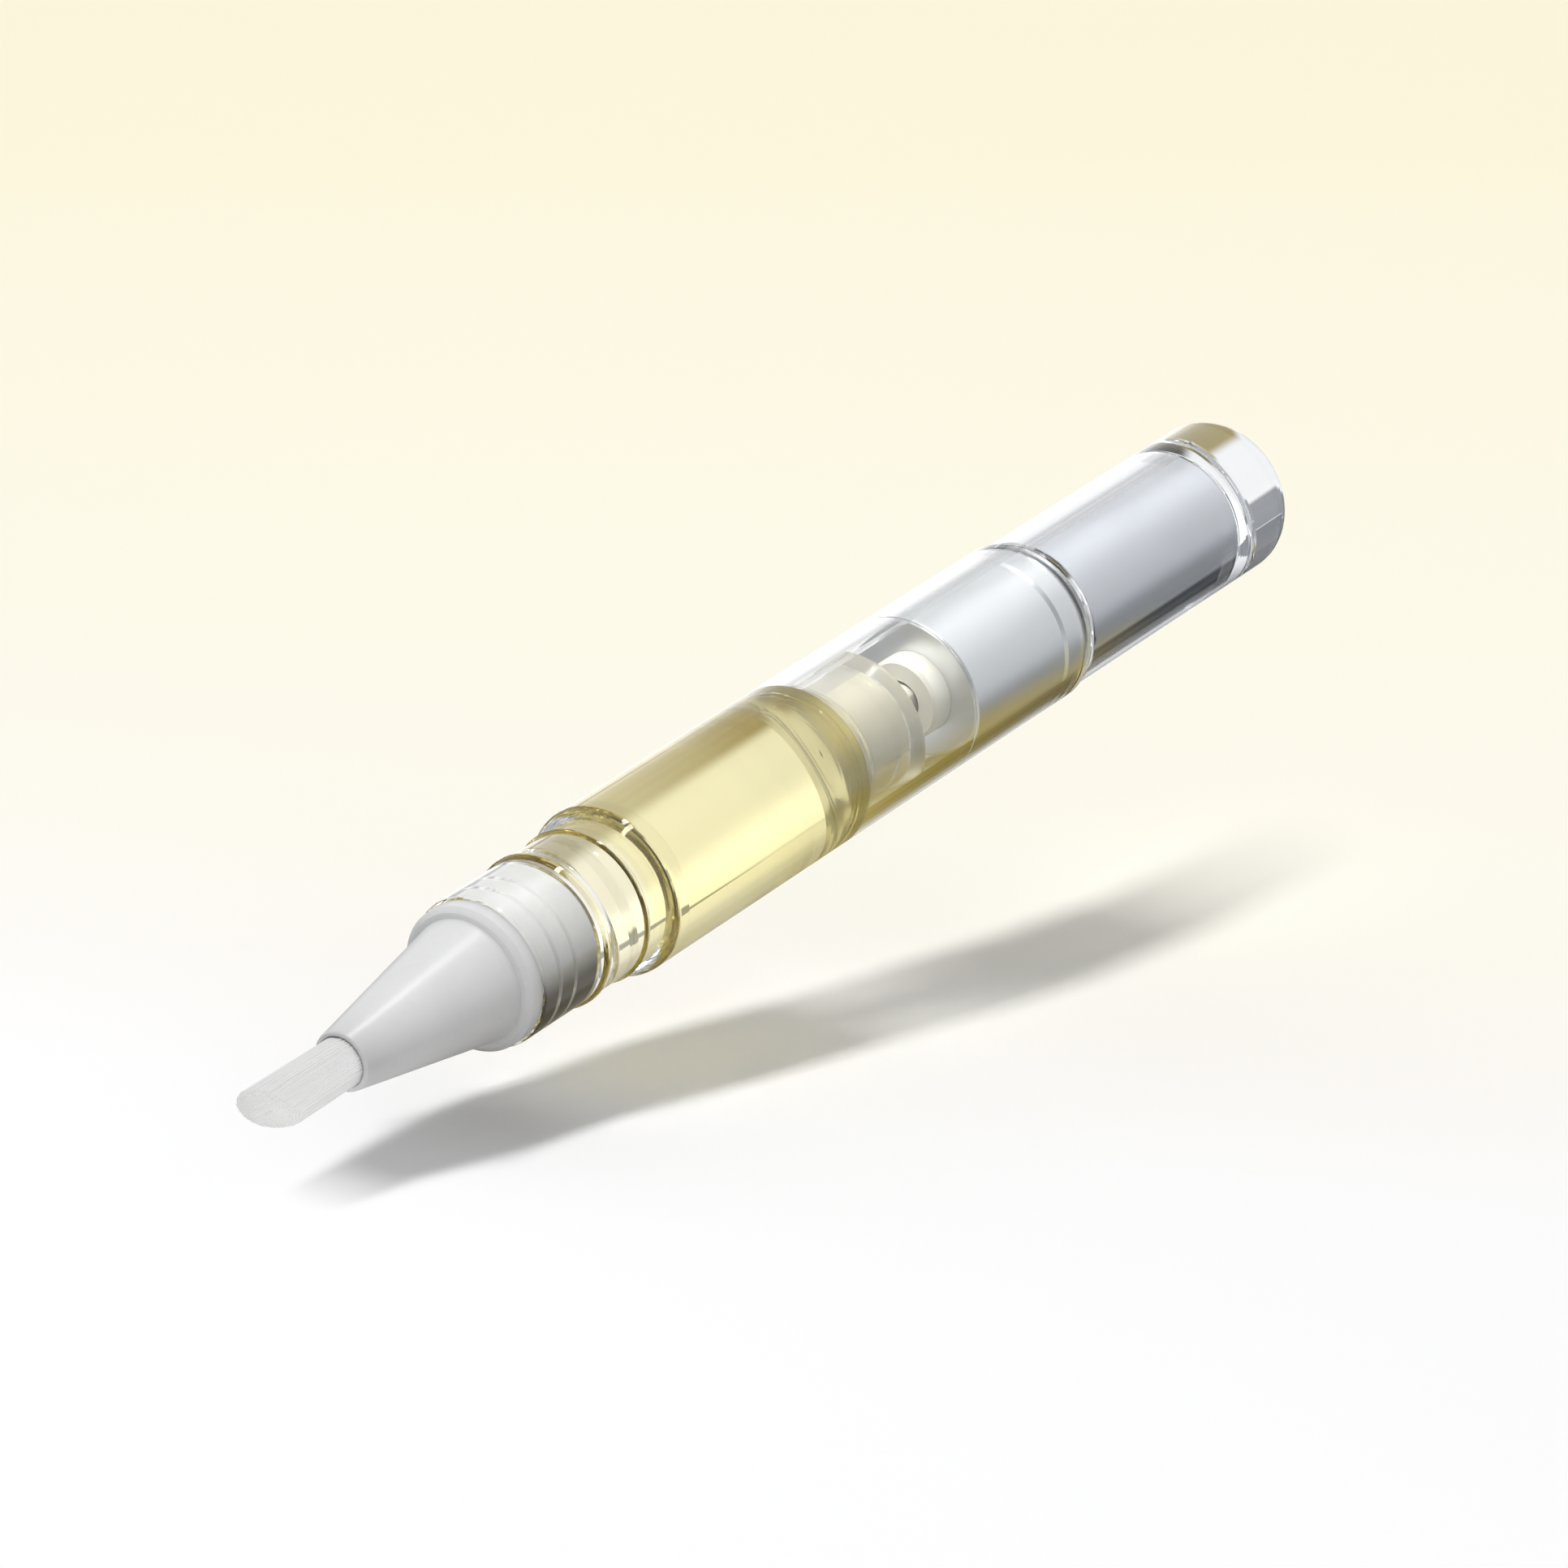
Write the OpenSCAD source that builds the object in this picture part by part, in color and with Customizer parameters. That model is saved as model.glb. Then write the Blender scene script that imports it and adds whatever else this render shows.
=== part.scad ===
// Nail oil pen with a twist feed, uncapped and lying on its side, in millimetres.
// +X runs along the pen towards the knob, and +Z is up.
// The origin lies under the middle of the pen, on the surface that it rests on.
// Places along the pen are measured from the knob's flat end towards the brush.

/* [Knob] */
// Length of the twist knob behind the barrel
knob_len = 27; // [24:0.5:34]
// How far the knob's side lies inside the barrel's
knob_step = 0.25; // [0.05:0.05:0.5]
// Rounding of the knob's closed end
knob_end_round = 1.6; // [0.6:0.1:2.2]
// Thickness of the clear solid end
knob_floor = 6; // [4:0.5:7]
// Diameter of the silver core as a share of the knob's
core_share = 0.73; // [0.7:0.01:0.76]
// Floor of the core, behind the rod
core_floor = 1; // [0.6:0.1:1.4]
// Rounding of the core's closed end
core_end_round = 0.6; // [0.3:0.1:1]
// Diameter of the core's flared mouth as a share of the knob's
flare_share = 0.88; // [0.84:0.01:0.9]
// Length over which the core flares
flare_len = 1.6; // [1.2:0.2:3]

/* [Barrel] */
// Outer diameter of the barrel
barrel_d = 12; // [11.9:0.1:13]
// Length of the barrel from its rear edge to its shoulder
barrel_len = 50.4; // [50:0.2:60]
// Wall of the barrel round the oil
barrel_wall = 1.05; // [0.9:0.05:1.1]
// Rounding of the shoulder
shoulder_round = 0.7; // [0.3:0.1:0.7]
// Wall left in front of the oil chamber at the shoulder
shoulder_wall = 0.8; // [0.6:0.1:1.4]
// Length of the taper inside the shoulder
taper_len = 1.4; // [0.8:0.1:2.4]
// Rounding of the barrel's rear edge
rear_round = 0.3; // [0.1:0.05:0.4]

/* [Neck] */
// Outer diameter of the neck, over which the cap slides
neck_d = 10.5; // [10.3:0.1:10.6]
// Length of the neck in front of the shoulder
neck_len = 13.3; // [12:0.1:16]
// Inner diameter of the neck
neck_bore = 8.4; // [8.3:0.05:8.8]
// Distance of the thin cap bead from the shoulder
cap_bead_at = 2.1; // [1:0.1:3]
// Width of the thin cap bead
cap_bead_w = 0.6; // [0.4:0.1:1]
// Distance of the wide snap bead from the shoulder
snap_bead_at = 6.3; // [5:0.1:7]
// Width of the wide snap bead
snap_bead_w = 1.2; // [0.8:0.1:1.6]
// Height of both beads over the neck
bead_h = 0.2; // [0.1:0.05:0.3]

/* [Nozzle] */
// Diameter of the collar that rests on the neck's rim
flange_d = 10.1; // [9.8:0.1:10.3]
// Thickness of the collar
flange_w = 1.35; // [1:0.05:2]
// Chamfer of the collar's front edge
flange_chamfer = 0.35; // [0.1:0.05:0.5]
// Diameter of the cone where it leaves the collar
cone_base_d = 8.6; // [8.4:0.1:9]
// Length of the cone
cone_len = 13.3; // [12:0.1:16]
// Diameter of the cone's mouth
mouth_d = 4.2; // [4.1:0.05:4.6]
// Rounding of the mouth's outer edge
mouth_round = 0.22; // [0.1:0.02:0.22]
// Bore of the mouth, through which the brush comes
mouth_bore = 3.6; // [3.56:0.02:3.7]
// Diameter of the plug inside the neck
plug_d = 7.9; // [7.7:0.05:8.1]
// Length of the plug inside the neck
plug_len = 6.7; // [5:0.1:7]
// Number of sealing ribs on the plug
plug_ribs = 3; // [2:1:4]
// Width of a sealing rib
plug_rib_w = 0.7; // [0.4:0.1:0.9]
// Bore of the plug
plug_bore = 5.8; // [5.6:0.1:6]

/* [Brush] */
// Diameter of the bundle of filaments
brush_d = 3.5; // [3.3:0.05:3.55]
// How far the brush stands out of the mouth
brush_out = 8.7; // [7:0.1:12]
// Length of the slanted, rounded tip
tip_len = 4; // [3:0.2:6]
// How far the tip's highest point lies from the middle
tip_offset = 1.1; // [0:0.1:1.4]
// How much the filaments spread towards the tip, as a share of the bundle
spread_share = 0.06; // [0:0.01:0.08]
// Turn of the slanted tip about the pen's axis
tip_turn = 41; // [-180:1:180]
// Distance from one filament to the next
filament_pitch = 0.165; // [0.15:0.005:0.2]
// Radius of a three-sided filament
filament_r = 0.085; // [0.05:0.005:0.09]
// Thickness of the fused root
root_len = 1; // [0.6:0.1:2]
// Length of the collar that binds the filaments
brush_collar_len = 4; // [3:0.2:5]
// How deep the collar's front lies behind the mouth
collar_depth = 7.5; // [6.6:0.1:8.4]
// Outer diameter of that collar
brush_collar_d = 4.6; // [4.4:0.1:5]
// Outer diameter of the feed tube
feed_d = 1; // [0.8:0.1:1.2]
// Bore of the feed tube
feed_bore = 0.6; // [0.4:0.1:0.6]
// Length of the feed tube
feed_len = 12; // [10:0.5:14]
// Length of the retainer plug behind the collar
retainer_len = 5; // [4:0.2:6]
// Number of flow channels round the retainer
channels = 6; // [4:1:8]
// Width of a flow channel
channel_w = 0.9; // [0.5:0.1:1.1]
// Depth of a flow channel
channel_h = 0.8; // [0.5:0.1:1]

/* [Sleeve and nut] */
// Step from the bore to the counterbore for the silver sleeve
seat_step = 0.1; // [0.05:0.01:0.2]
// Length of the bush in the barrel's rear mouth
bush_len = 2.7; // [2:0.1:4]
// Length of the silver sleeve
sleeve_len = 11.3; // [11:0.1:13]
// Inner diameter of the sleeve
sleeve_bore = 8.5; // [8.4:0.05:8.6]
// Front wall of the sleeve, against which the nut rests
sleeve_front = 0.8; // [0.6:0.1:1.2]
// Chamfer of the joint between sleeve and bush
joint_chamfer = 0.25; // [0.1:0.05:0.4]
// Diameter of the nut's nose
nose_d = 6; // [5:0.1:6.6]
// How far the nose stands out of the sleeve
nose_out = 1.8; // [1:0.1:3]
// Length of the nut inside the sleeve
nut_len = 4.4; // [3:0.1:4.4]
// Number of keys that stop the nut and the toothed ring from turning
keys = 2; // [2:1:4]
// Width of a key
key_w = 1.4; // [1:0.1:2]
// Height of a key
key_h = 0.45; // [0.3:0.05:0.5]

/* [Ratchet] */
// Length of the toothed ring
ring_len = 4.8; // [4:0.1:4.8]
// Number of teeth, one click each
teeth = 24; // [16:1:32]
// Diameter across the tips of the teeth
crest_d = 7.2; // [7:0.05:7.4]
// Diameter across the roots of the teeth
tooth_root_d = 7.8; // [7.6:0.05:7.9]
// Number of spring pawls
pawls = 3; // [2:1:4]
// Width of the pawls along the pen
pawl_w = 3; // [2:0.1:3.4]
// Thickness of a spring arm
arm_t = 0.25; // [0.2:0.01:0.3]
// Thickness of the ring that carries the arms
hub_t = 0.25; // [0.2:0.01:0.3]
// Angle that a spring arm spans
arm_sweep = 80; // [50:5:85]

/* [Drive sleeve] */
// Diameter of the drive sleeve's stem
stem_d = 5.6; // [5.4:0.1:5.8]
// Bore behind the keyed stretch
stem_bore = 4.4; // [4.3:0.05:4.6]
// Room between the core's floor and the stem's tail
tail_room = 2; // [1:0.1:3]
// Diameter of the thrust collar
thrust_d = 7.6; // [7:0.1:8]
// Thickness of the thrust collar
thrust_w = 0.9; // [0.6:0.1:1]
// Length of the keyed stretch
drive_key_len = 5; // [4:0.1:5]
// Number of splines that carry the knob
splines = 4; // [3:1:6]
// Width of a spline
spline_w = 0.9; // [0.6:0.1:1.2]
// Height of a spline
spline_h = 0.35; // [0.2:0.05:0.45]

/* [Screw rod] */
// Outer diameter of the screw rod
rod_d = 3; // [2.6:0.1:3]
// Distance across the rod's two flats
rod_flats = 2.3; // [2:0.1:2.4]
// Travel for one turn of the knob
lead = 2; // [1:0.1:3]
// Diameter of the rod's head
head_d = 3.8; // [3.4:0.1:4]
// Thickness of the rod's head
head_w = 1; // [0.8:0.1:1.2]
// Diameter of the rod's waist behind the head
waist_d = 2.2; // [2:0.1:2.4]
// Length of the rod's waist
waist_len = 1.2; // [1:0.1:1.4]
// Diameter of the stop ring on the rod's tail
tail_stop_d = 4.1; // [3.8:0.05:4.2]
// Thickness of the stop ring
tail_stop_w = 1; // [0.8:0.1:1.2]

/* [Piston] */
// Gap between the nut's nose and the piston, as photographed
piston_gap = 4.25; // [2:0.05:8]
// Length of the soft piston
piston_len = 8; // [7:0.1:9]
// Height of the piston's lips over its waist
lip_h = 0.4; // [0.2:0.05:0.8]
// Flat ring between the front lip and the dome
lip_ring = 1.4; // [0.8:0.1:2]
// Length of a lip
lip_len = 1.4; // [1:0.1:2]
// Height of the piston's dome
dome_h = 0.9; // [0.4:0.1:1.2]
// Diameter of the hard insert
insert_d = 6.4; // [6:0.1:7]
// Length of the hard insert
insert_len = 5; // [4.6:0.1:5.2]
// How far the insert lies inside the piston's rear face
insert_at = 0.4; // [0.2:0.1:0.8]

/* [Hidden] */
$fn = 96;

// Clearance of a piece that is pressed or glued in, on the radius
seat_gap = 0.02;
// Clearance of a piece that turns or slides, on the radius
run_gap = 0.05;
// Clearance of the piston's lips in the bore
lip_gap = 0.03;
// Clearance of the liquid from the walls round it
oil_gap = 0.02;
// Gap between the knob and the barrel
knob_gap = 0.2;
// Wall of the insert in front of the rod's head
insert_front = 1.2;
// End play of the turning pieces
end_play = 0.15;
// Overrun of a cut past the surface that it opens
cut = 0.5;
// Depth to which a piece of one solid is sunk in the next, so that they join
sink = 0.05;
// Thickness of the piston's front wall over the insert, at the least
insert_room = 0.1;
// Land of the piston's lips on the bore
lip_land = 0.5;
// Edge left between the mouth's bore and its rounding
mouth_land = 0.05;
// Rounding of the neck's rim
rim_round = 0.15;
// Wall of the silver core
core_wall = 0.85;
// Least gap between a pawl and a tooth
pawl_gap = 0.04;
// Barrel diameter for which the other diameters are given
full_d = 12;
// Gap between the stop ring and the drive sleeve's key at the end of travel
stop_gap = 0.35;
// Part of the core's flare over which its bore opens too
flare_bore_share = 0.7;
// How late the flare turns outwards
flare_power = 2;
// Part of a tooth that its steep side takes up
steep_share = 0.12;
// How far round its dome the tip falls away at the far side
tip_fall_share = 0.96;

// Every other diameter keeps its share of the barrel's
girth = barrel_d / full_d;
function radius(d) = girth * d / 2;

barrel_r = barrel_d / 2;
knob_r = barrel_r - girth * knob_step;
core_r = knob_r * core_share;
flare_r = knob_r * flare_share;
bore_r = barrel_r - girth * barrel_wall;
seat_r = bore_r + girth * seat_step;
neck_r = radius(neck_d);
neck_bore_r = radius(neck_bore);
flange_r = radius(flange_d);
cone_r = radius(cone_base_d);
mouth_r = radius(mouth_d);
mouth_bore_r = radius(mouth_bore);
plug_r = radius(plug_d);
plug_bore_r = radius(plug_bore);
brush_r = radius(brush_d);
collar_r = radius(brush_collar_d);
feed_r = radius(feed_d);
sleeve_r = seat_r - seat_gap;
sleeve_bore_r = radius(sleeve_bore);
nut_r = sleeve_bore_r - seat_gap;
nose_r = radius(nose_d);
crest_r = radius(crest_d);
tooth_root_r = radius(tooth_root_d);
stem_r = radius(stem_d);
thrust_r = radius(thrust_d);
rod_r = radius(rod_d);
flats = girth * rod_flats;
head_r = radius(head_d);
waist_r = radius(waist_d);
insert_r = radius(insert_d);
piston_r = bore_r - lip_gap;
piston_waist_r = piston_r - girth * lip_h;
dome_r = piston_r - girth * lip_ring;
retainer_r = plug_bore_r - seat_gap;
strand_r = girth * filament_r;

barrel_at = knob_len + knob_gap;
shoulder_at = barrel_at + barrel_len;
rim_at = shoulder_at + neck_len;
cone_at = rim_at + flange_w;
mouth_at = cone_at + cone_len;
pen_len = mouth_at + brush_out;
taper_end = shoulder_at - shoulder_wall;
taper_at = taper_end - taper_len;

bush_end = barrel_at + bush_len;
sleeve_end = bush_end + sleeve_len;
nose_end = sleeve_end + nose_out;
nut_end = sleeve_end - sleeve_front;
nut_at = nut_end - nut_len;
ring_at = nut_at - ring_len;
thrust_at = bush_end + end_play;
drive_at = knob_floor + seat_gap + core_floor + tail_room;
drive_end = nut_at - end_play;
drive_key_at = drive_end - drive_key_len;
spline_end = knob_len - flare_len * flare_bore_share;

// The travel ends at the taper or at the stop ring, whichever comes first
room_in_front = taper_at - end_play - piston_len - piston_gap - nose_end;
room_behind = drive_key_at - stop_gap - tail_stop_w - sink - drive_at;
travel = min(room_in_front, room_behind);
echo(travel = travel, turns = travel / lead);
piston_front = taper_at - end_play - travel;
piston_at = piston_front - piston_len;
insert_from = piston_at + insert_at;
insert_end = insert_from + insert_len;
head_end = insert_end - insert_front;
head_at = head_end - head_w;
waist_at = head_at - waist_len;
rod_at = drive_key_at - stop_gap - tail_stop_w - sink - travel;

plug_at = rim_at - plug_len;
collar_end = mouth_at - collar_depth;
collar_at = collar_end - brush_collar_len;
retainer_at = collar_at - retainer_len;
feed_at = retainer_at + sink;
feed_end = feed_at + feed_len;
root_at = collar_at + end_play;

// Places a piece that is modelled along its own axis, from the knob's end to the brush
module along_pen() {
    translate([pen_len / 2, 0, barrel_r]) rotate([0, -90, 0]) children();
}

// Solid of revolution whose outline is a list of points [radius, place along the pen]
module revolved(outline) {
    rotate_extrude() polygon(outline);
}

// Tube between two places along the pen
module tube(outer_r, inner_r, from, to) {
    revolved([[inner_r, from], [outer_r, from], [outer_r, to], [inner_r, to]]);
}

// Quarter round or other arc, as points of an outline
function arc(r, centre, radius, start, end, steps = 8) =
    [for (i = [0:steps])
        let (a = start + (end - start) * i / steps)
        [r + radius * cos(a), centre + radius * sin(a)]];

// Low rounded bead round a cylinder
function bead(r, centre, width, height, steps = 8) =
    [for (i = [0:steps])
        [r + height * sin(180 * i / steps), centre + width * (i / steps - 1 / 2)]];

// Copies of a key or slot, evenly round the axis
module round_axis(count, radius) {
    for (i = [0:count - 1])
        rotate([0, 0, i * 360 / count]) translate([radius, 0, 0]) children();
}

// Straight key along the pen, with its inner face at x = 0
module key(width, height, from, to) {
    translate([0, -width / 2, from]) cube([height, width, to - from]);
}

// The same points in the other order
function backwards(points) = [for (i = [len(points) - 1:-1:0]) points[i]];

// Flared outline that the core and the shell share, set off by a gap
function flare(gap, steps = 10) =
    [for (i = [0:steps])
        let (t = i / steps)
        [core_r + gap + (flare_r - core_r) * pow(t, flare_power), knob_len - flare_len * (1 - t)]];

// Rounded edge of the core's closed end, which the shell's bore follows at a gap
function core_end(gap) =
    arc(core_r - core_end_round, knob_floor + seat_gap + core_end_round, core_end_round + gap,
        -90, 0);

// Clear knob with a thick solid end and a flared bore
module knob_shell() {
    color([0.86, 0.88, 0.9, 0.5]) along_pen() revolved(concat(
        [[0, 0]],
        arc(knob_r - knob_end_round, knob_end_round, knob_end_round, -90, 0),
        arc(knob_r - rim_round, knob_len - rim_round, rim_round, 0, 90),
        backwards(flare(seat_gap)),
        backwards(core_end(seat_gap)),
        [[0, knob_floor]]));
}

// Silver core of the knob, with slots for the splines of the drive sleeve
module knob_core() {
    wall = girth * core_wall;
    core_at = knob_floor + seat_gap;
    core_bore_r = stem_r + seat_gap;
    color([0.72, 0.74, 0.77]) along_pen() difference() {
        revolved(concat(
            [[0, core_at]],
            core_end(0),
            flare(0),
            [[flare_r - wall, knob_len],
             [core_bore_r, knob_len - flare_len * flare_bore_share],
             [core_bore_r, core_at + core_floor],
             [0, core_at + core_floor]]));
        round_axis(splines, core_bore_r - cut)
            key(spline_w + 2 * seat_gap, girth * spline_h + cut, core_at + core_floor, knob_len);
    }
}

// Bush in the rear mouth of the barrel, in which the drive sleeve turns
module end_bush() {
    color([0.75, 0.77, 0.8]) along_pen() revolved([
        [stem_r + run_gap, barrel_at],
        [sleeve_r - rear_round, barrel_at],
        [sleeve_r, barrel_at + rear_round],
        [sleeve_r, bush_end - joint_chamfer],
        [sleeve_r - joint_chamfer, bush_end],
        [stem_r + run_gap, bush_end]]);
}

// Silver sleeve fixed in the barrel, with slots for the keys of nut and ring
module guide_sleeve() {
    color([0.72, 0.74, 0.77]) along_pen() difference() {
        revolved([
            [sleeve_bore_r, bush_end],
            [sleeve_r - joint_chamfer, bush_end],
            [sleeve_r, bush_end + joint_chamfer],
            [sleeve_r, sleeve_end - joint_chamfer],
            [sleeve_r - joint_chamfer, sleeve_end],
            [nose_r, sleeve_end],
            [nose_r, nut_end],
            [sleeve_bore_r, nut_end]]);
        round_axis(keys, sleeve_bore_r - cut)
            key(key_w, girth * key_h + cut, bush_end - cut, nut_end);
    }
}

// Nut with a nose through the sleeve's front wall, held from turning by its keys
module thread_nut() {
    color([0.93, 0.93, 0.92]) along_pen() {
        revolved([
            [rod_r + run_gap, nut_at],
            [nut_r, nut_at],
            [nut_r, nut_end],
            [nose_r - seat_gap, nut_end],
            [nose_r - seat_gap, nose_end - joint_chamfer],
            [nose_r - joint_chamfer, nose_end],
            [rod_r + run_gap, nose_end]]);
        round_axis(keys, nut_r - sink)
            key(key_w - 2 * seat_gap, girth * key_h + sink - seat_gap, nut_at, nut_end);
    }
}

// Outline of the sawtooth bore, steep on the side that stops back-turning
module saw_teeth() {
    polygon([for (i = [0:teeth - 1], root = [0, 1])
        let (a = (i + root * steep_share) * 360 / teeth,
             r = root == 1 ? tooth_root_r : crest_r)
        [r * cos(a), r * sin(a)]]);
}

// Toothed ring fixed in the sleeve behind the nut
module ratchet_ring() {
    color([0.95, 0.95, 0.94]) along_pen() {
        difference() {
            tube(nut_r, crest_r - cut, ring_at, nut_at);
            translate([0, 0, ring_at - cut]) linear_extrude(ring_len + 2 * cut) saw_teeth();
        }
        round_axis(keys, nut_r - sink)
            key(key_w - 2 * seat_gap, girth * key_h + sink - seat_gap, ring_at, nut_at);
    }
}

// Curve that leaves the hub and reaches out against the turn, so that its tip trails
function arm_curve(from_r, to_r, steps = 10) =
    [for (i = [0:steps])
        let (t = i / steps, r = from_r + (to_r - from_r) * t)
        [r * cos(arm_sweep * t), -r * sin(arm_sweep * t)]];

// One spring arm, which slides over the teeth one way and butts against them the other
module spring_arm(hub_in, hub_out, tip_r) {
    polygon(concat(
        arm_curve(hub_in + sink, tip_r - girth * arm_t),
        backwards(arm_curve(hub_out - sink, tip_r))));
}

// Ring of spring pawls on the drive sleeve, with the pawls at the height of the tooth tips
module ratchet_spring() {
    hub_in = stem_r + seat_gap;
    hub_out = hub_in + girth * hub_t;
    tip_r = crest_r - pawl_gap;
    color([0.95, 0.95, 0.94]) along_pen()
        translate([0, 0, ring_at + end_play]) linear_extrude(pawl_w) {
            difference() {
                circle(hub_out);
                circle(hub_in);
            }
            for (i = [0:pawls - 1])
                rotate(i * 360 / pawls) spring_arm(hub_in, hub_out, tip_r);
        }
}

// Cross section of the rod with its two flats, or of a hole round it at a gap
module flatted(gap) {
    intersection() {
        circle(rod_r + gap);
        square([2 * (rod_r + gap), flats + 2 * gap], center = true);
    }
}

// Drive sleeve: splined tail in the knob, thrust collar, keyed bore for the rod
module drive_sleeve() {
    color([0.9, 0.9, 0.88]) along_pen() {
        difference() {
            revolved([
                [0, drive_at],
                [stem_r, drive_at],
                [stem_r, thrust_at],
                [thrust_r, thrust_at],
                [thrust_r, thrust_at + thrust_w],
                [stem_r, thrust_at + thrust_w],
                [stem_r, drive_end],
                [0, drive_end]]);
            translate([0, 0, drive_at - cut])
                cylinder(r = radius(stem_bore), h = drive_key_at - drive_at + cut);
            translate([0, 0, drive_key_at - cut])
                linear_extrude(drive_key_len + 2 * cut) flatted(run_gap);
        }
        round_axis(splines, stem_r - sink)
            key(spline_w, girth * spline_h + sink - seat_gap, drive_at, spline_end);
    }
}

// Screw rod with two flats, a waist and a head that turns in the piston's insert
module screw_rod() {
    color([0.92, 0.93, 0.94]) along_pen() {
        translate([0, 0, rod_at]) linear_extrude(waist_at - rod_at) flatted(0);
        translate([0, 0, waist_at - sink])
            cylinder(r = waist_r, h = waist_len + 2 * sink);
        revolved([
            [0, head_at],
            [head_r, head_at],
            [head_r, head_at + head_w / 2],
            [waist_r, head_end],
            [0, head_end]]);
    }
}

// Stop ring on the rod's tail, which ends the travel at the drive sleeve's key
module tail_stop() {
    color([0.92, 0.93, 0.94]) along_pen()
        translate([0, 0, rod_at + sink]) linear_extrude(tail_stop_w) difference() {
            circle(radius(tail_stop_d));
            flatted(seat_gap);
        }
}

// Hard insert of the piston, with a socket for the rod's head
module piston_core() {
    color([0.85, 0.86, 0.87]) along_pen() revolved([
        [rod_r + run_gap, insert_from],
        [insert_r, insert_from],
        [insert_r, insert_end - joint_chamfer],
        [insert_r - joint_chamfer, insert_end],
        [0, insert_end],
        [0, head_end + run_gap],
        [head_r + run_gap, head_end + run_gap],
        [head_r + run_gap, head_at - run_gap],
        [waist_r + run_gap, head_at - run_gap],
        [waist_r + run_gap, waist_at + run_gap],
        [rod_r + run_gap, waist_at + run_gap]]);
}

// Dome that the piston and the oil share, set off by a gap
function dome(gap, steps = 6) =
    [for (i = [0:steps])
        let (a = 90 * i / steps)
        [dome_r * cos(a), piston_front + gap - dome_h * (1 - sin(a))]];

// Soft piston with a lip at each end and a domed front
module piston_seal() {
    color([0.94, 0.94, 0.92]) along_pen() revolved(concat(
        [[insert_r + seat_gap, piston_at],
         [piston_r - lip_land / 2, piston_at],
         [piston_r, piston_at + lip_land / 2],
         [piston_r, piston_at + lip_land],
         [piston_waist_r, piston_at + lip_len],
         [piston_waist_r, piston_front - dome_h - lip_len],
         [piston_r, piston_front - dome_h - lip_land],
         [piston_r, piston_front - dome_h]],
        dome(0),
        [[0, insert_end + insert_room],
         [insert_r + seat_gap, insert_end + insert_room]]));
}

// Pale oil between the piston and the nozzle's plug
module oil_fill() {
    r = bore_r - oil_gap;
    neck = neck_bore_r - oil_gap;
    color([0.93, 0.88, 0.55, 0.8]) along_pen() revolved(concat(
        backwards(dome(oil_gap)),
        [[r, piston_front + oil_gap - dome_h],
         [r, taper_at],
         [neck, taper_end],
         [neck, plug_at - oil_gap],
         [0, plug_at - oil_gap]]));
}

// Clear barrel with its rear counterbore, inner taper, shoulder and beaded neck
module barrel() {
    color([0.9, 0.92, 0.93, 0.4]) along_pen() revolved(concat(
        [[seat_r, barrel_at],
         [barrel_r - rear_round, barrel_at]],
        arc(barrel_r - rear_round, barrel_at + rear_round, rear_round, -90, 0, 4),
        arc(barrel_r - shoulder_round, shoulder_at - shoulder_round, shoulder_round, 0, 90),
        [[neck_r, shoulder_at]],
        bead(neck_r, shoulder_at + cap_bead_at, cap_bead_w, bead_h),
        bead(neck_r, shoulder_at + snap_bead_at, snap_bead_w, bead_h),
        arc(neck_r - rim_round, rim_at - rim_round, rim_round, 0, 90, 4),
        [[neck_bore_r, rim_at],
         [neck_bore_r, taper_end],
         [bore_r, taper_at],
         [bore_r, sleeve_end + seat_gap],
         [seat_r, sleeve_end + seat_gap]]));
}

// Outline of the nozzle's plug: straight, with low sealing ribs
function plug_outline(r, rib_r) =
    [for (i = [plug_ribs - 1:-1:0])
        let (at = rim_at - plug_len * (i + 1 / 2) / plug_ribs)
        for (p = [[r, at - plug_rib_w], [rib_r, at - plug_rib_w / 2],
                  [rib_r, at + plug_rib_w / 2], [r, at + plug_rib_w]]) p];

// Frosted nozzle: ribbed plug, collar on the neck's rim and cone, bored in three steps
module nozzle() {
    color([0.93, 0.94, 0.95]) along_pen() revolved(concat(
        [[plug_bore_r, plug_at],
         [plug_r, plug_at]],
        plug_outline(plug_r, neck_bore_r - seat_gap),
        [[plug_r, rim_at],
         [flange_r, rim_at],
         [flange_r, cone_at - flange_chamfer],
         [flange_r - flange_chamfer, cone_at],
         [cone_r, cone_at],
         [mouth_r, mouth_at - mouth_round]],
        arc(mouth_r - mouth_round, mouth_at - mouth_round, mouth_round, 0, 90, 4),
        [[mouth_bore_r, mouth_at],
         [mouth_bore_r, collar_end],
         [collar_r + seat_gap, collar_end],
         [collar_r + seat_gap, collar_at],
         [plug_bore_r, collar_at]]));
}

// Collar round the fused root of the filaments
module brush_collar() {
    color([0.9, 0.9, 0.89]) along_pen()
        tube(collar_r, brush_r + seat_gap, collar_at, collar_end);
}

// Fine tube that brings oil into the middle of the filaments
module feed_tube() {
    color([0.88, 0.89, 0.9]) along_pen() tube(feed_r, radius(feed_bore), feed_at, feed_end);
}

// Plug pressed in behind the collar, with flow channels and a seat for the feed tube
module brush_retainer() {
    color([0.9, 0.91, 0.92]) along_pen() difference() {
        tube(retainer_r, feed_r + seat_gap, retainer_at, collar_at);
        round_axis(channels, retainer_r - girth * channel_h)
            key(channel_w, girth * channel_h + cut, retainer_at - cut, collar_at + cut);
    }
}

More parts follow.
